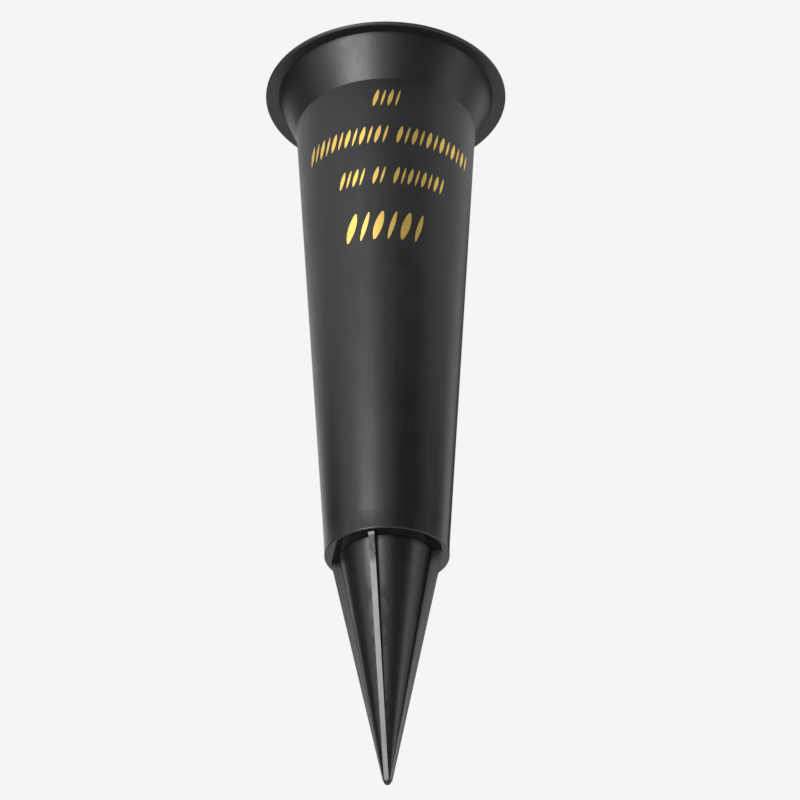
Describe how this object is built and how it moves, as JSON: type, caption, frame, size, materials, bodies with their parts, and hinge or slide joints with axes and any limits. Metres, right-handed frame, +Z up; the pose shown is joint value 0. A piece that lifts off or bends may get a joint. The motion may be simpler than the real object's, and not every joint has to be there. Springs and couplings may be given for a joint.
{
  "type": "spiked grave flower vase",
  "caption": "Tapered black plastic flower vase with a flared mouth and a finned spike that is pushed into the soil of a grave.",
  "frame": {"origin": "on the vase's axis at the flat underside of the cup's foot, where the soil's surface comes once the spike is pushed in", "axes": "+Z up the axis from the foot to the brim, -Z down the spike, -Y towards the side that carries the inscription, +X to the right as that side is seen"},
  "size_m": [0.085, 0.085, 0.2619],
  "materials": {
    "cup_plastic": "satin",
    "spike_plastic": "satin",
    "gold_foil": "hot-stamped foil"
  },
  "bodies": {
    "root": {"vase_cup": "cup_plastic", "ground_spike": "spike_plastic"}
  },
  "joints": []
}
